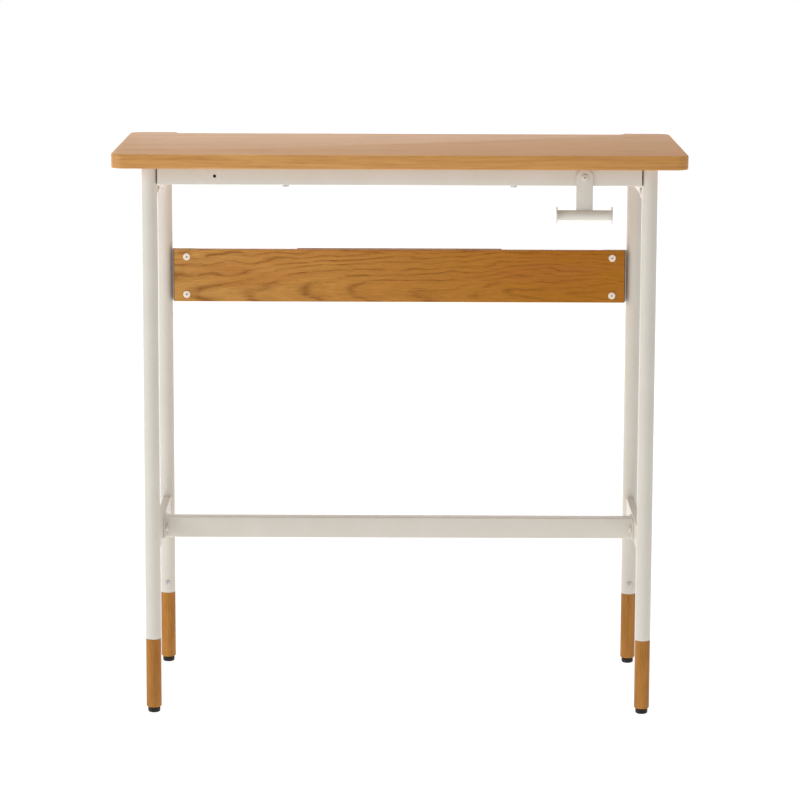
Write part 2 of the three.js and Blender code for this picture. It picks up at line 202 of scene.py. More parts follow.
class Shader:
    def __init__(self, name):
        self.material = bpy.data.materials.new(name)
        self.material.use_nodes = True
        self.tree = self.material.node_tree
        self.tree.nodes.clear()

    def add(self, kind, settings=None, inputs=None, output=0):
        node = self.tree.nodes.new("ShaderNode" + kind)
        for key, value in (settings or {}).items():
            if key == "stops":
                points = node.color_ramp.elements
                points.remove(points[1])
                points[0].position = value[0][0]
                for place, shade in value[1:]:
                    points.new(place)
                for point, (place, shade) in zip(points, value):
                    point.color = (shade, shade, shade, 1)
            else:
                setattr(node, key, value)
        for key, value in (inputs or {}).items():
            if isinstance(value, Signal):
                self.tree.links.new(value.socket, node.inputs[key])
            else:
                node.inputs[key].default_value = value
        return Signal(self, node.outputs[output]) if len(node.outputs) else None

    def place(self, scale=(1, 1, 1), location=(0, 0, 0)):
        own = self.add("TexCoord", None, None, "Object")
        return self.add("Mapping", None, {"Vector": own, "Scale": scale, "Location": location})

    def split(self, vector):
        return [self.add("SeparateXYZ", None, {0: vector}, axis) for axis in "XYZ"]

    def combine(self, x, y, z):
        return self.add("CombineXYZ", None, {0: x, 1: y, 2: z})

    def noise(self, vector, scale=1, detail=2, roughness=0.5):
        inputs = {"Vector": vector, "Scale": scale, "Detail": detail, "Roughness": roughness}
        return self.add("TexNoise", None, inputs)

    def ramp(self, value, *stops):
        return self.add("ValToRGB", {"stops": stops}, {0: value})

    def mix(self, factor, first, second, blend="MIX"):
        settings = {"data_type": "RGBA", "blend_type": blend, "clamp_factor": True}
        return self.add("Mix", settings, {0: factor, 6: first, 7: second}, 2)

    def finish(self, look, colour, roughness, height):
        bump = {"Height": height, "Distance": look["bumpDepth"], "Strength": look["bump"]}
        inputs = {"Base Color": colour, "Roughness": roughness}
        inputs |= {"Normal": self.add("Bump", None, bump)} | look.get("fixed", {})
        surface = self.add("BsdfPrincipled", None, inputs)
        self.add("OutputMaterial", None, {0: surface})
        return self.material


# Finishes.

panelOakLook = {
    "light": (0.73, 0.385, 0.10, 1),  # the board is paler at its left end: partly its own tone, partly a painted sheen of the light from the left
    "deep": (0.57, 0.225, 0.012, 1),
    "dark": (0.27, 0.088, 0.008, 1),
    "red": (0.57, 0.205, 0.040, 1),
    "pore": (0.22, 0.075, 0.010, 1),
    "flameAxis": 0.706,  # height of the middle of the flame figure
    "pithDepth": 0.036,
    "taper": 0.087,
    "ringSpacing": 0.0087,
    "lineStrength": 0.8,
    "bump": 0.25,
    "bumpDepth": 0.0003,
    "fixed": {"Specular IOR Level": 0.2},
}


def makePanelOak():
    look = panelOakLook
    s = Shader("panelOak")
    x, y, z = s.split(s.place())
    slow = s.noise(s.place((6, 6, 17)), 1, 2) - 0.5
    wave = s.noise(s.place((22, 22, 70)), 1, 3, 0.65) - 0.5
    across = z - look["flameAxis"] + slow * 0.034 + wave * 0.009
    deep = look["pithDepth"] - x * look["taper"] + slow * 0.016
    ring = (across * across + deep * deep).root() / look["ringSpacing"]
    lateStops = ((0, 0.55), (0.12, 0.15), (0.4, 0), (0.7, 0.25), (0.88, 1), (1, 0.55))
    late = s.ramp(ring.part(), *lateStops)
    inner = s.ramp((ring * 3 + wave * 2).part(), (0, 0.4), (0.3, 0), (0.8, 0.6), (1, 0.4))
    broken = s.noise(s.place((11, 11, 80), (3, 0, 0)), 1, 3, 0.7)
    fade = s.ramp(broken, (0.36, 0.05), (0.6, 1))
    fibre = s.noise(s.place((20, 200, 620)), 1, 5, 0.8)
    pores = s.ramp(s.noise(s.place((46, 300, 1100), (7, 0, 0)), 1, 2, 0.6), (0.57, 0), (0.68, 1))
    patch = s.ramp(s.noise(s.place((5, 5, 26), (0, 0, 5)), 1, 3), (0.46, 0), (0.68, 1))
    # painted sheen: the colour runs paler towards the left end and deeper to the right, partly the
    # oak's own tone, partly a painted sheen of the light from the left; the figure lines grow
    # fainter with it
    along = s.ramp(x + 0.5 + wave * 0.1, (0.12, 0), (0.5, 0.55), (0.8, 1))
    colour = s.mix(along, look["light"], look["deep"])
    colour = s.mix(patch * 0.5, colour, look["red"])
    colour = s.mix(inner * 0.16, colour, look["dark"])
    strength = look["lineStrength"] * (1 - along * 0.4)
    colour = s.mix(late * fade * strength, colour, look["dark"])
    colour = s.mix(pores * (0.25 + late * 0.5), colour, look["pore"])
    shade = s.ramp(fibre, (0.3, 0.7), (0.7, 1.0))
    colour = s.mix(1.0, colour, shade, "MULTIPLY")
    roughness = 0.46 + pores * 0.15 + fibre * 0.06
    return s.finish(look, colour, roughness, 1 - pores * 0.8 - late * 0.3)


# The panel's ends: dark end-grain oak, partly the wood's own end-grain tone, partly painted shade
# standing in for the shadowed gaps between the panel's ends and the legs.
panelEndGrainShadeLook = {
    "colour": (0.22, 0.085, 0.024, 1),
    "dark": (0.12, 0.044, 0.013, 1),
    "bump": 0.4,
    "bumpDepth": 0.0003,
    "fixed": {"Specular IOR Level": 0.2},
}


def makePanelEndGrainShade():
    look = panelEndGrainShadeLook
    s = Shader("panelEndOak")
    streak = s.noise(s.place((60, 900, 160)), 1, 3, 0.6)
    pores = s.ramp(s.noise(s.place(), 2600, 2), (0.58, 0), (0.66, 1))
    colour = s.mix(s.ramp(streak, (0.35, 0), (0.65, 1)), look["colour"], look["dark"])
    colour = s.mix(pores * 0.6, colour, look["dark"])
    return s.finish(look, colour, 0.6 + pores * 0.2, 1 - pores)


topOakLook = {
    "light": (0.66, 0.36, 0.145, 1),  # the left end is paler: partly its own tone, partly a painted sheen of the light from the left and behind
    "deep": (0.58, 0.265, 0.06, 1),
    "dark": (0.42, 0.175, 0.045, 1),
    "red": (0.60, 0.275, 0.098, 1),
    "pore": (0.33, 0.135, 0.034, 1),
    "leafWidth": 0.152,  # the veneer is laid in leaves side by side
    "leafShift": 0.48,  # in leaf widths
    "pithDepth": 0.052,
    "taper": 0.03,
    "ringSpacing": 0.0062,
    "lineStrength": 0.8,
    "bump": 0.2,
    "bumpDepth": 0.0002,
}


def makeTopOak():
    look = topOakLook
    s = Shader("topOak")
    x, y, z = s.split(s.place())
    leaves = y / look["leafWidth"] + look["leafShift"]
    leaf, own = leaves.floor(), leaves.part() - 0.5
    slow = s.noise(s.place((2.2, 7, 7)), 1, 2) - 0.5
    wave = s.noise(s.place((9, 45, 45)), 1, 3, 0.6) - 0.5
    across = own * look["leafWidth"] + leaf * 0.013 + slow * 0.02 + wave * 0.003
    deep = look["pithDepth"] + (x + leaf * 0.31) * look["taper"] + slow * 0.01
    ring = (across * across + deep * deep).root() / look["ringSpacing"]
    late = s.ramp(ring.part(), (0, 0.4), (0.12, 0.1), (0.5, 0), (0.85, 0.6), (0.95, 1), (1, 0.4))
    fade = s.ramp(s.noise(s.place((6, 50, 50), (3, 0, 0)), 1, 3, 0.7), (0.35, 0.25), (0.62, 1))
    fibre = s.noise(s.place((10, 700, 200)), 1, 4, 0.75)
    pores = s.ramp(s.noise(s.place((24, 1100, 300), (7, 0, 0)), 1, 2, 0.6), (0.6, 0), (0.7, 1))
    band = s.ramp(s.noise(s.place((0.9, 26, 26), (0, 4, 0)), 1, 2), (0.38, 0), (0.66, 1))
    # painted sheen: paler towards the left end, partly the veneer's own tone, partly a painted
    # sheen of the light from the left and behind
    along = s.ramp(x + 0.5 + wave * 0.1, (0.3, 0), (0.95, 1))
    colour = s.mix(along, look["light"], look["deep"])
    colour = s.mix(band * 0.85, colour, look["red"])
    colour = s.mix(late * fade * look["lineStrength"], colour, look["dark"])
    colour = s.mix(pores * (0.2 + late * 0.4), colour, look["pore"])
    shade = s.ramp(fibre, (0.3, 0.9), (0.7, 1.0))
    colour = s.mix(1.0, colour, shade, "MULTIPLY")
    roughness = 0.47 + pores * 0.12 + fibre * 0.06
    return s.finish(look, colour, roughness, 1 - pores * 0.7 - late * 0.2)


# The front edge runs paler towards its left end: partly the oak's own tone, partly a painted sheen
# of the light from the left.
edgeOakLook = {
    "light": (0.78, 0.40, 0.118, 1),
    "deep": (0.70, 0.34, 0.085, 1),
    "dark": (0.50, 0.20, 0.034, 1),
    "pore": (0.36, 0.14, 0.024, 1),
    "bump": 0.2,
    "bumpDepth": 0.0002,
}


def makeEdgeOak():
    look = edgeOakLook
    s = Shader("edgeOak")
    wave = s.noise(s.place((3, 3, 40)), 1, 2) - 0.5
    x, y, z = s.split(s.place())
    streakPlace = s.combine(x * 7, y * 7, z * 260 + wave * 5)
    streak = s.ramp(s.noise(streakPlace, 1, 4, 0.65), (0.32, 1), (0.62, 0))
    fibre = s.noise(s.combine(x * 26, y * 26, z * 1400), 1, 3, 0.7)
    pores = s.ramp(s.noise(s.combine(x * 34, y * 34, z * 1100 + 9), 1, 2), (0.6, 0), (0.7, 1))
    broad = s.noise(s.place((1.6, 1.6, 30), (2, 2, 0)), 1, 1)
    # painted sheen: paler towards the left end, partly own tone, partly a painted sheen of the
    # light from the left
    along = s.ramp(x + 0.5, (0.35, 0), (0.95, 1))
    colour = s.mix(along, look["light"], look["deep"])
    colour = s.mix(streak * 0.62, colour, look["dark"])
    colour = s.mix(pores * 0.35, colour, look["pore"])
    shade = s.ramp(fibre * 0.6 + broad * 0.4, (0.3, 0.86), (0.7, 1.0))
    colour = s.mix(1.0, colour, shade, "MULTIPLY")
    return s.finish(look, colour, 0.36 + pores * 0.12 + streak * 0.05, 1 - pores * 0.8)


tipOakLook = {
    "light": (0.61, 0.262, 0.042, 1),
    "dark": (0.35, 0.124, 0.012, 1),
    "pore": (0.23, 0.078, 0.010, 1),
    "pithX": 0.66,  # the rings are parts of wide circles about this line
    "pithY": -0.31,
    "ringSpacing": 0.0036,
    "bump": 0.25,
    "bumpDepth": 0.0002,
    "fixed": {"Specular IOR Level": 0.3},
}


def makeTipOak():
    look = tipOakLook
    s = Shader("tipOak")
    x, y, z = s.split(s.place())
    wave = s.noise(s.place((40, 40, 9)), 1, 3) - 0.5
    acrossX = x - look["pithX"] + wave * 0.004
    acrossY = y - look["pithY"] + wave * 0.004
    ring = (acrossX * acrossX + acrossY * acrossY).root() / look["ringSpacing"]
    late = s.ramp(ring.part(), (0, 0.4), (0.15, 0.1), (0.5, 0), (0.9, 1), (1, 0.4))
    fibre = s.noise(s.place((700, 700, 18)), 1, 4, 0.7)
    pores = s.ramp(s.noise(s.place((1100, 1100, 34), (7, 0, 0)), 1, 2), (0.6, 0), (0.7, 1))
    broad = s.ramp(s.noise(s.place((70, 70, 6)), 1, 2), (0.35, 0.82), (0.65, 1))
    patch = s.ramp(s.noise(s.place((50, 50, 16), (5, 0, 0)), 1, 3, 0.6), (0.42, 0), (0.66, 1))
    colour = s.mix(late * 0.34, look["light"], look["dark"])
    colour = s.mix(patch * 0.35, colour, look["dark"])
    colour = s.mix(pores * 0.5, colour, look["pore"])
    colour = s.mix(1.0, colour, s.ramp(fibre, (0.3, 0.84), (0.7, 1)), "MULTIPLY")
    colour = s.mix(1.0, colour, broad, "MULTIPLY")
    return s.finish(look, colour, 0.45 + pores * 0.12 + fibre * 0.06, 1 - pores - late * 0.2)


ivoryLook = {
    "colour": (0.775, 0.742, 0.675, 1),
    "deep": (0.75, 0.715, 0.645, 1),
    "grime": (0.69, 0.655, 0.59, 1),
    "peelSize": 900,  # bumps of the powder coat per metre
    "bump": 0.16,
    "bumpDepth": 0.00012,
}


screwCreamLook = ivoryLook | {
    "colour": (0.97, 0.90, 0.79, 1),
    "deep": (0.94, 0.87, 0.76, 1),
    "grime": (0.78, 0.70, 0.60, 1),
}


def makeIvory(name, look=ivoryLook, roughnessBase=0.4):
    s = Shader(name)
    peel = s.noise(s.place(), look["peelSize"], 1, 0.5)
    fine = s.noise(s.place(), look["peelSize"] * 4, 1, 0.5)
    cloud = s.noise(s.place(), 14, 3, 0.6)
    speck = s.ramp(s.noise(s.place(), 2600, 1), (0.68, 0), (0.76, 1))
    colour = s.mix(s.ramp(cloud, (0.35, 0), (0.65, 1)), look["colour"], look["deep"])
    colour = s.mix(speck * 0.4, colour, look["grime"])
    roughness = roughnessBase + cloud * 0.08 + peel * 0.05
    return s.finish(look, colour, roughness, peel + fine * 0.25)


zincLook = {
    "colour": (0.62, 0.63, 0.65, 1),
    "dull": (0.48, 0.49, 0.50, 1),
    "bump": 0.12,
    "bumpDepth": 0.00008,
    "fixed": {"Metallic": 1.0},
}


def makeZinc():
    look = zincLook
    s = Shader("zincPlate")
    blotch = s.noise(s.place(), 320, 3, 0.6)
    fine = s.noise(s.place(), 3000, 2, 0.6)
    colour = s.mix(s.ramp(blotch, (0.4, 0), (0.65, 1)), look["colour"], look["dull"])
    return s.finish(look, colour, 0.24 + blotch * 0.16 + fine * 0.05, fine)


padLook = {
    "colour": (0.010, 0.0085, 0.0075, 1),
    "rubbed": (0.026, 0.021, 0.018, 1),
    "bump": 0.2,
    "bumpDepth": 0.0001,
    "fixed": {"Specular IOR Level": 0.3},
}


def makePadPlastic():
    look = padLook
    s = Shader("padPlastic")
    grain = s.noise(s.place(), 1700, 2, 0.6)
    cloud = s.noise(s.place(), 130, 2)
    colour = s.mix(s.ramp(cloud, (0.45, 0), (0.75, 1)), look["colour"], look["rubbed"])
    return s.finish(look, colour, 0.3 + cloud * 0.16 + grain * 0.06, grain)


floorLook = {
    "colour": (0.93, 0.925, 0.915, 1),
    "dim": 0.985,  # its darker patches, as a share of its colour
    "roughness": 0.9,
    "glow": 0.55,
    "paper": 1.15,  # strength of the plain white laid over the lit surface
    "paperShare": 0.85,  # how much of it is laid on
    "halfSize": 14,
    "drop": 0.0002,  # how far it lies below the feet
}


def makeFloor():
    s = Shader("paleFloor")
    tone = s.noise(s.place(), 3, 2)
    pale = floorLook["colour"]
    dim = [floorLook["dim"] * c for c in pale[:3]] + [1]
    colour = s.mix(s.ramp(tone, (0.3, 0), (0.7, 1)), pale, dim)
    inputs = {"Base Color": colour, "Roughness": floorLook["roughness"]}
    inputs |= {"Specular IOR Level": 0.1, "Emission Color": (1, 1, 1, 1)}
    inputs |= {"Emission Strength": floorLook["glow"]}
    lit = s.add("BsdfPrincipled", None, inputs)
    paper = s.add("Emission", None, {"Color": (1, 1, 1, 1), "Strength": floorLook["paper"]})
    seen = s.add("LightPath", None, None, "Is Camera Ray")
    top = s.add("MixShader", None, {0: seen * floorLook["paperShare"], 1: lit, 2: paper})
    below = s.add("BsdfTransparent")  # seen from underneath the floor isn't there
    back = s.add("NewGeometry", None, None, "Backfacing")
    s.add("OutputMaterial", None, {0: s.add("MixShader", None, {0: back, 1: top, 2: below})})
    bm = bmesh.new()
    bmesh.ops.create_grid(bm, x_segments=1, y_segments=1, size=floorLook["halfSize"])
    bmesh.ops.translate(bm, verts=bm.verts, vec=(0, 0, cadLow.z - floorLook["drop"]))
    mesh = bpy.data.meshes.new("floor")
    bm.to_mesh(mesh)
    bm.free()
    mesh.materials.append(s.material)
    floor = bpy.data.objects.new("floor", mesh)
    bpy.context.scene.collection.objects.link(floor)


makeFloor()
finishes = {
    "panelOak": makePanelOak(),
    "panelEnd": makePanelEndGrainShade(),
    "topOak": makeTopOak(),
    "edgeOak": makeEdgeOak(),
    "tipOak": makeTipOak(),
    "ivory": makeIvory("ivoryCoat"),
    "ivoryScrew": makeIvory("ivoryScrewCoat", roughnessBase=0.32),
    "creamScrew": makeIvory("creamScrewCoat", screwCreamLook, 0.3),
    "zinc": makeZinc(),
    "pad": makePadPlastic(),
}
print("finishes made:", len(finishes))


# Shapes that several pieces share.

def blockShape(low, high):
    middle = (Vector(low) + Vector(high)) / 2
    size = Vector(high) - Vector(low)
    bm = bmesh.new()
    bmesh.ops.create_cube(bm, size=1, matrix=Matrix.LocRotScale(middle, None, size))
    return bm


def edgesAlong(bm, axis):
    runs = {e: (e.verts[1].co - e.verts[0].co).normalized() for e in bm.edges}
    return [e for e, run in runs.items() if abs(run[axis]) > squareOn]


# Edges between a flat end across the axis and the sides.
def rimEdges(bm, axis):
    flat = {f for f in bm.faces if abs(f.normal[axis]) > squareOn}
    return [e for e in bm.edges if len(set(e.link_faces) & flat) == 1]


def roundEdges(bm, edges, radius, steps):
    return bmesh.ops.bevel(
        bm, geom=edges, offset=radius, offset_type="OFFSET", segments=steps, profile=0.5,
        affect="EDGES", material=-1, clamp_overlap=True,
    )["faces"]


# Turns (radius, height, rounding) points about Z. A ring that stays sharp has no rounding.
def turnedShape(profile, steps=64, closed=False):
    bm = bmesh.new()
    verts = [bm.verts.new((point[0], 0, point[1])) for point in profile]
    pairs = zip(verts, verts[1:] + verts[:1] if closed else verts[1:])
    edges = [bm.edges.new(pair) for pair in pairs]
    bmesh.ops.spin(
        bm, geom=verts + edges, cent=(0, 0, 0), axis=(0, 0, 1), angle=fullTurn, steps=steps,
        use_merge=True, use_duplicate=False,
    )
    bmesh.ops.remove_doubles(bm, verts=bm.verts, dist=near)
    bmesh.ops.recalc_face_normals(bm, faces=bm.faces)
    for radius, height, rounding in [point for point in profile if len(point) == 3]:
        onRing = {v for v in bm.verts if abs(v.co.z - height) < near
                  and abs(math.hypot(v.co.x, v.co.y) - radius) < near}
        ring = [e for e in bm.edges if set(e.verts) <= onRing]
        roundEdges(bm, ring, rounding, steps=5)
    return bm


def addRod(bm, radius, start, end, steps=48):
    start, end = Vector(start), Vector(end)
    turn = (end - start).to_track_quat("Z", "Y")
    bmesh.ops.create_cone(
        bm, cap_ends=True, cap_tris=False, segments=steps, radius1=radius, radius2=radius,
        depth=(end - start).length, matrix=Matrix.LocRotScale((start + end) / 2, turn, None),
    )


def looseObject(bm):
    mesh = bpy.data.meshes.new("loose")
    bm.to_mesh(mesh)
    bm.free()
    loose = bpy.data.objects.new("loose", mesh)
    bpy.context.scene.collection.objects.link(loose)
    return loose


# The body after the tool is taken from it or added to it.
def combine(bm, tool, operation="DIFFERENCE"):
    body, other = looseObject(bm), looseObject(tool)
    cut = body.modifiers.new("cut", "BOOLEAN")
    cut.operation = operation
    cut.solver = "EXACT"
    cut.object = other
    now = bpy.context.evaluated_depsgraph_get()
    made = bpy.data.meshes.new_from_object(body.evaluated_get(now), depsgraph=now)
    for loose in (body, other):
        bpy.data.objects.remove(loose)
    result = bmesh.new()
    result.from_mesh(made)
    bmesh.ops.remove_doubles(result, verts=result.verts, dist=merged)
    return result


# A hole is (radius, start, end). This one runs through a place, along one axis.
def holeAlong(axis, radius, at, start, end):
    first, last = Vector(at), Vector(at)
    first[axis], last[axis] = start, end
    return radius, first, last


def drill(bm, *holes, steps=48):
    rods = bmesh.new()
    for radius, start, end in holes:
        addRod(rods, radius, start, end, steps)
    return combine(bm, rods)


def tubeShape(low, high, axis, corner, wall):
    bm = blockShape(low, high)
    roundEdges(bm, edgesAlong(bm, axis), corner, steps=6)
    caps = [f for f in bm.faces if abs(f.normal[axis]) > squareOn]
    bmesh.ops.inset_region(bm, faces=caps, thickness=wall, use_even_offset=True)
    mouths = [e for cap in caps for e in cap.edges]
    bmesh.ops.delete(bm, geom=caps, context="FACES")
    bmesh.ops.bridge_loops(bm, edges=mouths)
    bmesh.ops.recalc_face_normals(bm, faces=bm.faces)
    return bm


def moveGrown(bm, grown, move):
    verts = [v for v in grown["geom"] if isinstance(v, bmesh.types.BMVert)]
    bmesh.ops.translate(bm, verts=verts, vec=move)


# A sheet that follows the path and runs along the axis. Its thickness goes in from the outer side.
def foldedSheet(path, axis, length, bend, thickness, outwards):
    bm = bmesh.new()
    verts = [bm.verts.new(place) for place in path]
    edges = [bm.edges.new(pair) for pair in zip(verts, verts[1:])]
    move = Vector((0, 0, 0))
    move[axis] = length
    moveGrown(bm, bmesh.ops.extrude_edge_only(bm, edges=edges), move)
    folds = [e for e in edgesAlong(bm, axis) if len(e.link_faces) == 2]
    roundEdges(bm, folds, bend, steps=6)
    bmesh.ops.recalc_face_normals(bm, faces=bm.faces)
    outwards = Vector(outwards)
    leaf = max(bm.faces, key=lambda f: abs(f.normal.dot(outwards)))
    if leaf.normal.dot(outwards) < 0:
        bmesh.ops.reverse_faces(bm, faces=bm.faces)
    bmesh.ops.solidify(bm, geom=bm.faces[:], thickness=thickness)
    bmesh.ops.recalc_face_normals(bm, faces=bm.faces)
    return bm


def addPiece(name, bm, slot, finish, *nodes, body=rootBody):
    mesh = bpy.data.meshes.new(name)
    bm.to_mesh(mesh)
    bm.free()
    for one in [finish] if isinstance(finish, str) else finish:
        mesh.materials.append(finishes[one])
    mesh.shade_smooth()
    mesh.set_sharp_from_angle(angle=sharpAngle)
    piece = bpy.data.objects.new(name, mesh)
    bpy.context.scene.collection.objects.link(piece)
    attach(piece, body)
    if nodes:
        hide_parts(*nodes)
    return piece


# leg_tube_front_left as legTubeFrontLeft, for a piece's name.
def plain(name):
    first, *rest = name.split("_")
    return first + "".join(word.title() for word in rest)


def middleOf(node):
    low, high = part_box(node)
    return (low + high) / 2


# Weld beads: a rippled line of metal round a joint.

weldLook = {
    "radius": 0.0013,
    "ripple": 0.13,
    "rippleLength": 0.0016,
    "step": 0.0004,
    "standOff": 0.35,  # how far its middle lies off the leg, in bead radii
    "inset": 0.0003,  # how far it lies inside the rail's outline
    "topGap": 0.003,  # it stops this far under the tabletop
}


# The path's points come in order, closer together than the ripples.
def beadShape(path, closed):
    data = bpy.data.curves.new("bead", "CURVE")
    data.dimensions = "3D"
    data.bevel_depth = weldLook["radius"]
    data.bevel_resolution = 2
    data.use_fill_caps = True
    line = data.splines.new("POLY")
    line.points.add(len(path) - 1)
    line.use_cyclic_u = closed
    travelled, wave = 0, fullTurn / weldLook["rippleLength"]
    for point, place, before in zip(line.points, path, path[:1] + path):
        travelled += (place - before).length
        point.co = (*place, 1)
        point.radius = 1 + weldLook["ripple"] * math.sin(wave * travelled)
    curve = bpy.data.objects.new("bead", data)
    bpy.context.scene.collection.objects.link(curve)
    now = bpy.context.evaluated_depsgraph_get()
    made = bpy.data.meshes.new_from_object(curve.evaluated_get(now), depsgraph=now)
    bpy.data.objects.remove(curve)
    bm = bmesh.new()
    bm.from_mesh(made)
    bmesh.ops.remove_doubles(bm, verts=bm.verts, dist=merged)
    bmesh.ops.recalc_face_normals(bm, faces=bm.faces)
    return bm


# The tabletop.

topShape = {
    "cornerRadius": 0.024,
    "edgeRound": 0.002,
    "edgeTurn": 0.99,  # faces that lie less flat than this are edge oak
    "notchHalfWidth": 0.413,
    "notchDepth": 0.020,
    "notchInnerRadius": 0.010,
    "notchOuterRadius": 0.008,
    "pilotRadius": 0.0025,
    "pilotDepth": 0.0175,
}


def buildTabletop():
    low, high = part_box("tabletop")
    notchX, notchY = topShape["notchHalfWidth"], high.y - topShape["notchDepth"]
    outline = [
        (low.x, low.y), (high.x, low.y), (high.x, high.y), (notchX, high.y),
        (notchX, notchY), (-notchX, notchY), (-notchX, high.y), (low.x, high.y),
    ]
    bm = bmesh.new()
    face = bm.faces.new([bm.verts.new((x, y, low.z)) for x, y in outline])
    grown = bmesh.ops.extrude_face_region(bm, geom=[face])
    moveGrown(bm, grown, (0, 0, high.z - low.z))
    bmesh.ops.recalc_face_normals(bm, faces=bm.faces)
    for x, y, radius, steps in (
        (high.x, None, topShape["cornerRadius"], 14),
        (notchX, high.y, topShape["notchOuterRadius"], 8),
        (notchX, notchY, topShape["notchInnerRadius"], 8),
    ):
        found = [e for e in edgesAlong(bm, 2) if abs(abs(e.verts[0].co.x) - x) < near
                 and (y is None or abs(e.verts[0].co.y - y) < near)]
        roundEdges(bm, found, radius, steps)
    roundEdges(bm, rimEdges(bm, 2), topShape["edgeRound"], steps=4)
    for face in bm.faces:
        face.material_index = 0 if abs(face.normal.z) > topShape["edgeTurn"] else 1
    pilot, deepest = topShape["pilotRadius"], low.z + topShape["pilotDepth"]
    screws = [middleOf(f"top_screw_{name}") for name, x, y in corners]
    bm = drill(bm, *[holeAlong(2, pilot, at, low.z - overrun, deepest) for at in screws])
    addPiece("tabletopBoard", bm, "oak_veneer", ["topOak", "edgeOak"], "tabletop")


buildTabletop()
print("tabletop built")


# Legs: a steel tube, an oak tip plugged into its end, and the screw that holds the tip.

legShape = {
    "wall": 0.0014,
    "rimRound": 0.0004,
    "screwHole": 0.0021,
    "screwReach": 1.2,  # the hole's cut, in tube radii
    "screwHeight": 0.155,
    "steadyRing": 0.007,  # rings near the hole keep its shading off the rest of the tube
    "tipChamfer": 0.0015,
    "tipBottomRound": 0.0004,
    "tipSideRound": 0.0005,
    "tipTopRound": 0.0003,
    "tenonRound": 0.001,
    "tenonClearance": 0.0003,
    "pocketRadius": 0.0063,
    "pocketDepth": 0.046,
    "flangePocketRadius": 0.0083,
    "flangePocketDepth": 0.0019,
}


def buildLeg(name, x, y):
    low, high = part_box(f"leg_{name}")
    middle = (low + high) / 2
    radius = (high.x - low.x) / 2
    bore = radius - legShape["wall"]
    holeAt, steady = legShape["screwHeight"], legShape["steadyRing"]
    tube = turnedShape([
        (bore, low.z), (radius, low.z, legShape["rimRound"]), (radius, holeAt - steady),
        (radius, holeAt + steady), (radius, high.z), (bore, high.z), (bore, holeAt + steady),
        (bore, holeAt - steady),
    ], steps=72, closed=True)
    reach = -y * radius * legShape["screwReach"]
    tube = drill(tube, holeAlong(1, legShape["screwHole"], (0, 0, holeAt), 0, reach))
    tube.transform(Matrix.Translation((middle.x, middle.y, 0)))
    addPiece(plain(f"leg_tube_{name}"), tube, "ivory_steel", "ivory", f"leg_{name}")

    low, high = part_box(f"leg_tip_{name}")
    tipRadius = (high.x - low.x) / 2
    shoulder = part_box(f"leg_{name}")[0].z - legShape["tenonClearance"]
    tenon = bore - legShape["tenonClearance"]
    pocket, pocketTop = legShape["pocketRadius"], low.z + legShape["pocketDepth"]
    flange, flangeTop = legShape["flangePocketRadius"], low.z + legShape["flangePocketDepth"]
    chamfer = legShape["tipChamfer"]
    oak = turnedShape([
        (0, pocketTop), (pocket, pocketTop), (pocket, flangeTop), (flange, flangeTop),
        (flange, low.z), (tipRadius - chamfer, low.z, legShape["tipBottomRound"]),
        (tipRadius, low.z + chamfer, legShape["tipSideRound"]),
        (tipRadius, shoulder, legShape["tipTopRound"]), (tenon, shoulder),
        (tenon, holeAt - steady), (tenon, holeAt + steady),
        (tenon, high.z, legShape["tenonRound"]), (0, high.z),
    ], steps=72)
    oak = drill(oak, holeAlong(1, legShape["screwHole"], (0, 0, holeAt), 0, -y * radius))
    oak.transform(Matrix.Translation((middle.x, middle.y, 0)))
    addPiece(plain(f"oak_tip_{name}"), oak, "oak_solid", "tipOak", f"leg_tip_{name}")


for corner in corners:
    buildLeg(*corner)
print("legs built")


# Levelling feet: a plastic pad on a threaded stud, in a flanged nut in the oak tip.

footShape = {
    "padBottomRound": 0.0032,
    "padTopRound": 0.0012,
    "padGap": 0.0003,  # between the pad and the oak tip
    "dishDepth": 0.0006,
    "dishRound": 0.0008,
    "dishShare": 0.5,  # radii of the dish and of the ring round it, in pad radii
    "ringShare": 0.58,
    "ringRound": 0.0004,
    "studRadius": 0.004,
    "studSunk": 0.0002,  # how far it starts inside the pad
    "threadDepth": 0.0007,
    "threadPitch": 0.00125,
    "threadSteps": 24,
    "threadShape": (0.12, 0.5, 0.62),  # root's end, crest's start and end, in pitches
    "nutBore": 0.0043,
    "nutRadius": 0.006,
    "nutFlange": 0.0013,
    "nutRound": 0.0003,
}


def threadedStud(bottom, top):
    # One thread's profile is carried round and up a pitch at a time, then its ends are cut level.
    radius, pitch = footShape["studRadius"], footShape["threadPitch"]
    steps, (rise, crest, fall) = footShape["threadSteps"], footShape["threadShape"]
    root = radius - footShape["threadDepth"]
    turns = math.ceil((top - bottom) / pitch) + 2
    profile = [(root, 0), (root, rise), (radius, crest), (radius, fall), (root, 1)]
    bm = bmesh.new()
    verts = [bm.verts.new((r, 0, bottom + (share - 1) * pitch)) for r, share in profile]
    edges = [bm.edges.new(pair) for pair in zip(verts, verts[1:])]
    bmesh.ops.spin(
        bm, geom=verts + edges, cent=(0, 0, 0), axis=(0, 0, 1), dvec=(0, 0, pitch / steps),
        angle=fullTurn * turns, steps=steps * turns, use_merge=False, use_duplicate=False,
    )
    bmesh.ops.remove_doubles(bm, verts=bm.verts, dist=near)
    for height, up in ((bottom, -1), (top, 1)):
        bmesh.ops.bisect_plane(
            bm, geom=bm.verts[:] + bm.edges[:] + bm.faces[:], dist=near / 10,
            plane_co=(0, 0, height), plane_no=(0, 0, up), clear_outer=True,
        )
        rim = [e for e in bm.edges if e.is_boundary and abs(e.verts[0].co.z - height) < near]
        bmesh.ops.holes_fill(bm, edges=rim, sides=0)
    bmesh.ops.recalc_face_normals(bm, faces=bm.faces)
    return bm


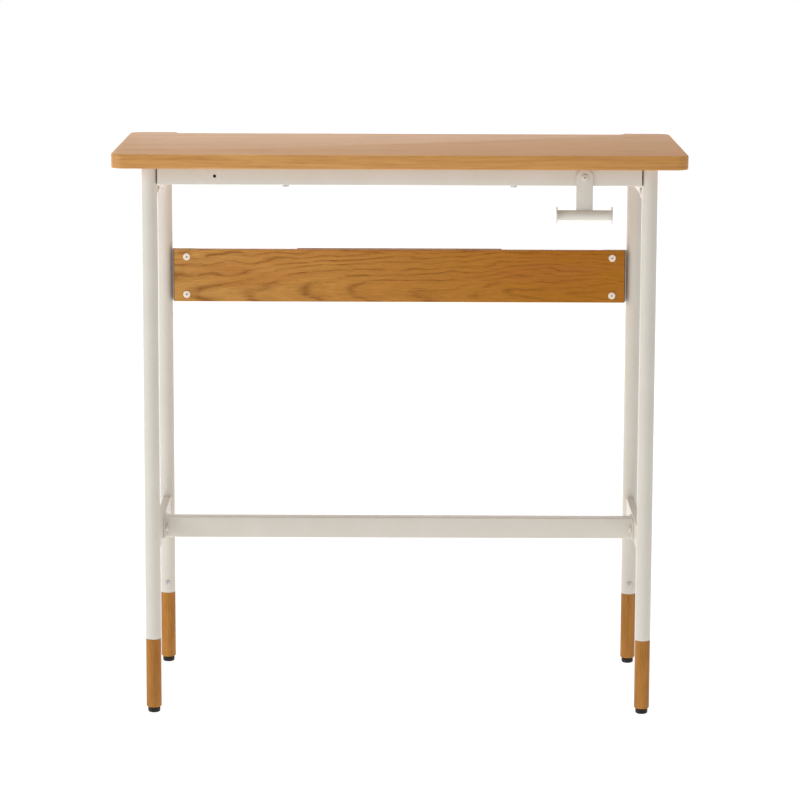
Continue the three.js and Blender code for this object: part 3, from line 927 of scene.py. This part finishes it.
def buildFoot(name):
    node = f"levelling_foot_{name}"
    low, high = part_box(node)
    middle = (low + high) / 2
    nutLow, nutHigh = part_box(f"insert_nut_{name}")
    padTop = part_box(f"leg_tip_{name}")[0].z - footShape["padGap"]
    padRadius = (high.x - low.x) / 2
    dish, dishTop = padRadius * footShape["dishShare"], low.z + footShape["dishDepth"]
    place = Matrix.Translation((middle.x, middle.y, 0))
    pad = turnedShape([
        (0, dishTop), (dish, dishTop, footShape["dishRound"]),
        (padRadius * footShape["ringShare"], low.z, footShape["ringRound"]),
        (padRadius, low.z, footShape["padBottomRound"]),
        (padRadius, padTop, footShape["padTopRound"]), (footShape["studRadius"], padTop),
        (0, padTop),
    ], steps=64)
    pad.transform(place)
    addPiece(plain(f"foot_pad_{name}"), pad, "black_plastic", "pad", node, body=f"foot_{name}")
    stud = threadedStud(padTop - footShape["studSunk"], high.z)
    stud.transform(place)
    addPiece(plain(f"foot_stud_{name}"), stud, "zinc_steel", "zinc", body=f"foot_{name}")

    bore, barrel, soft = footShape["nutBore"], footShape["nutRadius"], footShape["nutRound"]
    flange, flangeTop = (nutHigh.x - nutLow.x) / 2, nutLow.z + footShape["nutFlange"]
    nut = turnedShape([
        (bore, nutLow.z), (flange, nutLow.z, soft), (flange, flangeTop, soft),
        (barrel, flangeTop), (barrel, nutHigh.z), (bore, nutHigh.z),
    ], steps=48, closed=True)
    nut.transform(place)
    addPiece(plain(f"insert_nut_{name}_ring"), nut, "zinc_steel", "zinc", f"insert_nut_{name}")


for name, x, y in corners:
    buildFoot(name)
print("levelling feet built")


# Side frames: a high rail under the top and a low rail, both shaped round the legs and welded.

railShape = {
    "wall": 0.0015,
    "corner": 0.002,
    "cope": 0.01365,  # radius of the hollow in each end
    "boltHole": 0.0033,
}


def weldPath(middle, size, radius, end, below):
    # A rounded rectangle across Y, laid onto the leg; below keeps the bead off what is above it.
    bm = bmesh.new()
    bmesh.ops.create_grid(bm, x_segments=1, y_segments=1, size=0.5)
    bmesh.ops.scale(bm, verts=bm.verts, vec=(size[0], size[1], 1))
    bmesh.ops.bevel(
        bm, geom=bm.verts[:], offset=railShape["corner"], offset_type="OFFSET", segments=4,
        profile=0.5, affect="VERTICES", material=-1,
    )
    for edge in [e for e in bm.edges if e.calc_length() > railShape["corner"]]:
        cuts = int(edge.calc_length() / weldLook["step"])
        bmesh.ops.subdivide_edges(bm, edges=[edge], cuts=cuts)
    bm.faces.ensure_lookup_table()
    loop = [v.co.copy() for v in bm.faces[0].verts]
    bm.free()
    path = []
    for place in loop:
        out = math.sqrt(radius * radius - place.x * place.x)
        out += weldLook["radius"] * weldLook["standOff"]
        path.append(Vector((middle.x + place.x, middle.y - end * out, middle.z + place.y)))
    keep = [p.z < below for p in path]
    if all(keep):
        return path, True
    first = next(i for i in range(len(path)) if keep[i] and not keep[i - 1])
    path = path[first:] + path[:first]
    return [p for p in path if p.z < below], False


def buildSideRail(node, side, bolts, weldBelow):
    low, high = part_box(node)
    middle = (low + high) / 2
    legs = [middleOf(f"leg_{end}_{side}") for end in ends]
    bm = tubeShape(
        (low.x, legs[0].y, low.z), (high.x, legs[1].y, high.z), 1,
        railShape["corner"], railShape["wall"],
    )
    cope, bolt = railShape["cope"], railShape["boltHole"]
    copes = [holeAlong(2, cope, leg, low.z - overrun, high.z + overrun) for leg in legs]
    bm = drill(bm, *copes, steps=96)
    inner = low.x if side == "right" else high.x
    start, stop = inner - throughWall, inner + throughWall
    bm = drill(bm, *[holeAlong(0, bolt, middleOf(one), start, stop) for one in bolts])
    for leg, end in zip(legs, ends.values()):
        size = (high.x - low.x - weldLook["inset"] * 2, high.z - low.z - weldLook["inset"] * 2)
        place = Vector((middle.x, leg.y, middle.z))
        path, closed = weldPath(place, size, railShape["cope"], end, weldBelow)
        bead = beadShape(path, closed)
        bm = combine(bm, bead, "UNION")
    addPiece(plain(node), bm, "ivory_steel", "ivory", node)


for side in sides:
    upper = f"top_side_rail_{side}"
    lower = f"lower_side_rail_{side}"
    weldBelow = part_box(upper)[1].z - weldLook["topGap"]
    buildSideRail(upper, side, [f"rail_bolt_{end}_{side}" for end in ends], weldBelow)
    buildSideRail(lower, side, [f"crossbar_bolt_{end}_{side}" for end in ends], math.inf)
print("side frames built")


# The long rails under the top, and the bent brackets that join them to the side frames.

longRailShape = {
    "wall": 0.0015,
    "corner": 0.002,
    "screwHole": 0.0025,
    "hookHole": 0.0028,
}


def buildLongRail(node, end):
    low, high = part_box(node)
    bm = tubeShape(low, high, 0, longRailShape["corner"], longRailShape["wall"])
    screws = [middleOf(f"top_screw_{end}_{side}") for side in sides]
    radius, under, over = longRailShape["screwHole"], low.z - overrun, high.z + overrun
    holes = [holeAlong(2, radius, at, under, over) for at in screws]
    if end == "front":
        radius, hook = longRailShape["hookHole"], middleOf("hook_screw")
        for x in (hook.x, -hook.x):  # the second hole is a spare, for the hook on the other side
            at = (x, 0, hook.z)
            holes.append(holeAlong(1, radius, at, low.y - overrun, low.y + throughWall))
    addPiece(plain(node), drill(bm, *holes), "ivory_steel", "ivory", node)


bracketShape = {
    "thickness": 0.003,
    "bend": 0.005,
    "boltHole": 0.0033,
    "leafBottom": 0.0267,  # the short leaf starts this far above the long one
    "leafDepth": 0.006,  # what is cut from under the short leaf reaches this far in
}


def buildBracket(name, x, y):
    node = f"corner_bracket_{name}"
    low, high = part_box(node)
    outerX = high.x if x > 0 else low.x
    innerX = low.x if x > 0 else high.x
    face = high.y if y > 0 else low.y
    tail = low.y if y > 0 else high.y
    plan = [(outerX, tail, low.z), (outerX, face, low.z), (innerX, face, low.z)]
    bend, thickness = bracketShape["bend"], bracketShape["thickness"]
    bm = foldedSheet(plan, 2, high.z - low.z, bend, thickness, (x, 0, 0))
    leafBottom = low.z + bracketShape["leafBottom"]
    xs = sorted((outerX - x * bend, innerX - x * overrun))
    ys = sorted((face - y * bracketShape["leafDepth"], face + y * overrun))
    away = blockShape((xs[0], ys[0], low.z - overrun), (xs[1], ys[1], leafBottom))
    bm = combine(bm, away)
    bolt, at = bracketShape["boltHole"], middleOf(f"rail_bolt_{name}")
    bm = drill(bm, holeAlong(0, bolt, at, outerX - throughPlate, outerX + throughPlate))
    addPiece(plain(f"corner_angle_{name}"), bm, "ivory_steel", "ivory", node)


for end in ends:
    buildLongRail(f"{end}_rail", end)
for corner in corners:
    buildBracket(*corner)
print("long rails and brackets built")


# The crossbar: a tube with a plate welded on each end.

crossbarShape = {
    "wall": 0.0015,
    "corner": 0.002,
    "halfDepth": 0.0125,
    "plate": 0.003,
    "plateCorner": 0.003,
    "plateRound": 0.0004,
    "boltHole": 0.0033,
    "ventHole": 0.003,
    "ventX": 0.380,
}


def buildCrossbar():
    low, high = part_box("crossbar")
    plate, deep = crossbarShape["plate"], crossbarShape["halfDepth"]
    bm = tubeShape(
        (low.x + plate / 2, -deep, low.z), (high.x - plate / 2, deep, high.z), 0,
        crossbarShape["corner"], crossbarShape["wall"],
    )
    for left, right in ((low.x, low.x + plate), (high.x - plate, high.x)):
        flat = blockShape((left, low.y, low.z), (right, high.y, high.z))
        roundEdges(flat, edgesAlong(flat, 0), crossbarShape["plateCorner"], steps=6)
        roundEdges(flat, rimEdges(flat, 0), crossbarShape["plateRound"], steps=2)
        bm = combine(bm, flat, "UNION")
    holes = []
    for name, x, y in corners:
        bolt, at = crossbarShape["boltHole"], middleOf(f"crossbar_bolt_{name}")
        end = high.x if x > 0 else low.x
        holes.append(holeAlong(0, bolt, at, end - throughPlate, end + throughPlate))
    for x in (-crossbarShape["ventX"], crossbarShape["ventX"]):
        vent = crossbarShape["ventHole"]
        holes.append(holeAlong(2, vent, (x, 0, 0), low.z - overrun, low.z + throughWall))
    addPiece("crossbarTube", drill(bm, *holes), "ivory_steel", "ivory", "crossbar")


buildCrossbar()
print("crossbar built")


# The oak panel, the steel plates behind its ends, and the cable tray on its back.

panelShape = {
    "cornerRadius": 0.0015,
    "edgeRound": 0.0014,
    "endTurn": 0.15,  # faces turned this far sideways show dark end grain, deepened as painted shade for the shadowed gaps by the legs
    "screwHole": 0.0033,  # in the board and in the plates behind it
    "trayPilot": 0.0021,
    "trayPilotDepth": 0.013,
    "plateRound": 0.0004,
}
panelRows = ("upper", "lower")


# Holes for the two screws at one end, right through between low and high.
def panelScrewHoles(side, low, high):
    screws = [middleOf(f"panel_screw_{row}_{side}") for row in panelRows]
    radius, front, back = panelShape["screwHole"], low.y - overrun, high.y + overrun
    return [holeAlong(1, radius, at, front, back) for at in screws]


def buildPanel():
    low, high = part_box("back_panel")
    bm = blockShape(low, high)
    roundEdges(bm, edgesAlong(bm, 1), panelShape["cornerRadius"], steps=4)
    roundEdges(bm, rimEdges(bm, 1), panelShape["edgeRound"], steps=4)
    # sideways faces take the dark end oak: partly end grain, partly painted shade of the gaps at
    # the ends
    for face in bm.faces:
        face.material_index = 1 if abs(face.normal.x) > panelShape["endTurn"] else 0
    pilot, deepest, holes = panelShape["trayPilot"], high.y - panelShape["trayPilotDepth"], []
    for side in sides:
        holes += panelScrewHoles(side, low, high)
        at = middleOf(f"tray_screw_{side}")
        holes.append(holeAlong(1, pilot, at, deepest, high.y + overrun))
    bm = drill(bm, *holes)
    addPiece("backPanelBoard", bm, "oak_panel", ["panelOak", "panelEnd"], "back_panel")

    for side in sides:
        node = f"panel_plate_{side}"
        low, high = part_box(node)
        plate = blockShape(low, high)
        roundEdges(plate, plate.edges[:], panelShape["plateRound"], steps=2)
        plate = drill(plate, *panelScrewHoles(side, low, high))
        addPiece(plain(f"panel_tab_{side}"), plate, "ivory_steel", "ivory", node)


trayShape = {
    "sheet": 0.0016,
    "bend": 0.004,
    "lip": 0.758,  # height of its back edge
    "screwHole": 0.0021,
}


def buildTray():
    low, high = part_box("cable_tray")
    section = [(low.y, high.z), (low.y, low.z), (high.y, low.z), (high.y, trayShape["lip"])]
    line = [(low.x, y, z) for y, z in section]
    bend, sheet = trayShape["bend"], trayShape["sheet"]
    bm = foldedSheet(line, 0, high.x - low.x, bend, sheet, (0, 0, -1))
    screws = [middleOf(f"tray_screw_{side}") for side in sides]
    radius, front, inside = trayShape["screwHole"], low.y - overrun, low.y + throughWall
    bm = drill(bm, *[holeAlong(1, radius, at, front, inside) for at in screws])
    addPiece("cableTraySheet", bm, "ivory_steel", "ivory", "cable_tray")


buildPanel()
buildTray()
print("panel and tray built")


# The hook: a strap screwed to the front rail, with a short bar and two discs.

hookShape = {
    "strapRound": 0.0004,
    "strapFlat": 0.0001,  # left between the round corners of its upper end, on each side
    "screwHole": 0.0028,
    "barWall": 0.0015,
    "barClearance": 0.00005,
    "discRound": 0.0004,
}


def turnToX(bm, at):
    bm.transform(Matrix.Translation(at) @ Matrix.Rotation(math.pi / 2, 4, "Y"))


def buildHook():
    low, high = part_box("hook_strap")
    barLow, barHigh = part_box("hook_bar")
    bar = (barLow + barHigh) / 2
    barRadius = (barHigh.z - barLow.z) / 2
    strap = blockShape((low.x, low.y, bar.z), high)
    upper = [e for e in edgesAlong(strap, 1) if e.verts[0].co.z > bar.z + near]
    roundEdges(strap, upper, (high.x - low.x) / 2 - hookShape["strapFlat"], steps=16)
    roundEdges(strap, rimEdges(strap, 1), hookShape["strapRound"], steps=2)
    span = Vector((high.x - low.x, 0, 0))
    hollow = (barRadius + hookShape["barClearance"], bar - span, bar + span)
    strap = drill(strap, hollow, steps=96)
    screw, radius = middleOf("hook_screw"), hookShape["screwHole"]
    strap = drill(strap, holeAlong(1, radius, screw, low.y - overrun, high.y + overrun))
    addPiece("hookStrapPlate", strap, "ivory_steel", "ivory", "hook_strap")

    half = (barHigh.x - barLow.x) / 2
    bore = barRadius - hookShape["barWall"]
    section = [(bore, -half), (barRadius, -half), (barRadius, half), (bore, half)]
    ring = turnedShape(section, steps=64, closed=True)
    turnToX(ring, bar)
    addPiece("hookBarTube", ring, "ivory_steel", "ivory", "hook_bar")
    for side in sides:
        node = f"hook_disc_{side}"
        low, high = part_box(node)
        radius, half, edge = (high.z - low.z) / 2, (high.x - low.x) / 2, hookShape["discRound"]
        section = [(0, -half), (radius, -half, edge), (radius, half, edge), (0, half)]
        disc = turnedShape(section, steps=72)
        turnToX(disc, (low + high) / 2)
        addPiece(plain(f"hook_end_{side}"), disc, "ivory_steel", "ivory", node)


buildHook()
print("hook built")


# Screws and bolts: a domed head with a hexagon socket.

screwKinds = {
    "tip_screw": {"shank": 0.0018, "height": 0.0022, "socket": 0.0016, "deep": 0.0019},
    "rail_bolt": {"shank": 0.003, "height": 0.004, "socket": 0.0023, "deep": 0.0035},
    "crossbar_bolt": {"shank": 0.003, "height": 0.005, "socket": 0.0026, "deep": 0.004},
    "top_screw": {"shank": 0.0022, "height": 0.0035, "socket": 0.0022, "deep": 0.0016},
    "panel_screw": {"shank": 0.003, "height": 0.0028, "socket": 0.0023, "deep": 0.0042},
    "hook_screw": {"shank": 0.0025, "height": 0.003, "socket": 0.0019, "deep": 0.0038},
    "tray_screw": {"shank": 0.0018, "height": 0.0024, "socket": 0.0016, "deep": 0.0012},
}
screwRounds = {"shank": 0.3, "rim": 0.06, "dome": 0.62}  # in shank radii, then head heights
zincKinds = ("tip_screw", "top_screw", "tray_screw")
headTowards = {
    "tip_screw": lambda x, y: (0, -y, 0),
    "rail_bolt": lambda x, y: (-x, 0, 0),
    "crossbar_bolt": lambda x, y: (-x, 0, 0),
    "top_screw": lambda x, y: (0, 0, -1),
    "panel_screw": lambda x, y: (0, -1, 0),
    "hook_screw": lambda x, y: (0, -1, 0),
    "tray_screw": lambda x, y: (0, 1, 0),
}


def buildScrew(kind, node, x, y, turn):
    look = screwKinds[kind]
    low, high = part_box(node)
    towards = Vector(headTowards[kind](x, y))
    axis = max(range(3), key=lambda i: abs(towards[i]))
    radius = max(high[i] - low[i] for i in range(3) if i != axis) / 2
    shank, height = look["shank"], look["height"]
    seat = (low + high) / 2
    seat[axis] = (high[axis] - height) if towards[axis] > 0 else (low[axis] + height)
    length = high[axis] - low[axis] - height
    bm = turnedShape([
        (0, -length), (shank, -length, shank * screwRounds["shank"]), (shank, 0),
        (radius, 0, height * screwRounds["rim"]), (radius, height, height * screwRounds["dome"]),
        (0, height),
    ], steps=56)
    bottom = height - look["deep"]
    bm = drill(bm, holeAlong(2, look["socket"], (0, 0, 0), bottom, height + overrun), steps=6)
    spin = Matrix.Rotation(math.radians(turn), 4, "Z")
    tilt = towards.to_track_quat("Z", "Y").to_matrix().to_4x4()
    bm.transform(Matrix.Translation(seat) @ tilt @ spin)
    finish = "creamScrew" if kind == "panel_screw" else "ivoryScrew"
    if kind in zincKinds:
        finish = "zinc"
    slot = "zinc_steel" if finish == "zinc" else "ivory_fastener"
    addPiece(plain(node + "_head"), bm, slot, finish, node)


socketTurns = (8, 41, 23, 55, 12, 34)  # the sockets take these six angles in turn, so that neighbours stop at different angles
turnAt = 0
for kind in screwKinds:
    for node in sorted(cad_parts):
        if not node.startswith(kind):
            continue
        x = -1 if node.endswith("left") else 1
        y = -1 if "front" in node else 1
        buildScrew(kind, node, x, y, socketTurns[turnAt % len(socketTurns)])
        turnAt += 1
print("screws built:", turnAt)
